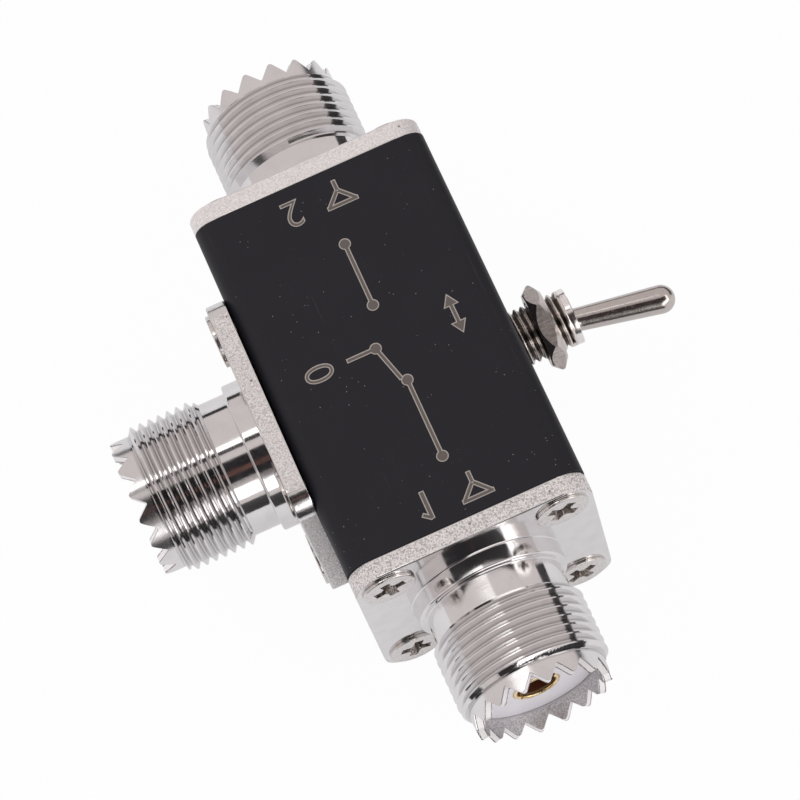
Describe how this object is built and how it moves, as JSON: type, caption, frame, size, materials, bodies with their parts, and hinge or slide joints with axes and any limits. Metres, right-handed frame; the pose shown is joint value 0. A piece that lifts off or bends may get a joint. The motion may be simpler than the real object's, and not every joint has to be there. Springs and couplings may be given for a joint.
{
  "type": "coaxial antenna switch",
  "caption": "Small aluminium box that connects one radio socket to either of two antenna sockets, chosen with a bat-lever toggle switch on its side.",
  "frame": {"origin": "centre of the housing's bottom face", "axes": "+X along the first antenna socket, -X along the second, -Y along the transceiver socket, +Y along the toggle switch, +Z out of the top face"},
  "size_m": [0.073, 0.0581, 0.025],
  "materials": {
    "black_anodising": "matte black anodising, fine grain",
    "nickel_plate": "bright nickel plate",
    "white_insulator": "smooth white PTFE",
    "gilt": "thin gilding",
    "screw_nickel": "bright nickel plate",
    "toggle_nickel": "darker nickel plate on brass",
    "sheet_steel": "tinned",
    "plunger_plastic": "natural nylon",
    "case_plastic": "moulded",
    "contact_alloy": "silver-plated",
    "tinned_brass": "tinned",
    "solder": "smooth solder"
  },
  "bodies": {
    "switch_box": {"housing": "black_anodising", "tx_socket_body": "nickel_plate", "ant1_socket_body": "nickel_plate", "ant2_socket_body": "nickel_plate", "tx_insulator": "white_insulator", "ant1_insulator": "white_insulator", "ant2_insulator": "white_insulator", "tx_contact": "gilt", "ant1_contact": "gilt", "ant2_contact": "gilt", "tx_screws": "screw_nickel", "ant1_screws": "screw_nickel", "ant2_screws": "screw_nickel", "toggle_bushing": "toggle_nickel", "toggle_nut": "toggle_nickel", "switch_frame": "sheet_steel", "switch_case": "case_plastic", "common_terminal": "tinned_brass", "ant1_terminal": "tinned_brass", "ant2_terminal": "tinned_brass", "tx_wire": "tinned_brass", "ant1_wire": "tinned_brass", "ant2_wire": "tinned_brass", "tx_solder": "solder", "ant1_solder": "solder", "ant2_solder": "solder"},
    "lever": {"toggle_lever": "toggle_nickel", "lever_pin": "sheet_steel", "plunger_spring": "sheet_steel"},
    "plunger": {"plunger": "plunger_plastic"},
    "rocker": {"rocker_contact": "contact_alloy"}
  },
  "joints": [
    {"name": "lever_tilt", "type": "hinge", "parent": "switch_box", "child": "lever", "pos_m": [0, 0.016, 0.0125], "axis": [0, 0, 1], "range_deg": [0, 22.8]},
    {"name": "plunger_slide", "type": "slide", "parent": "lever", "child": "plunger", "axis": [0.1977, 0.9803, 0], "range_m": [0, 0.0005], "stiffness_N_per_m": 200, "deforming": ["plunger_spring"]},
    {"name": "rocker_tilt", "type": "hinge", "parent": "switch_box", "child": "rocker", "pos_m": [0, 0.0039, 0.0125], "axis": [0, 0, 1], "range_deg": [-16, 0]}
  ],
  "couplings": [
    {"joint": "rocker_tilt", "follows": "lever_tilt", "ratio": -0.7017}
  ]
}
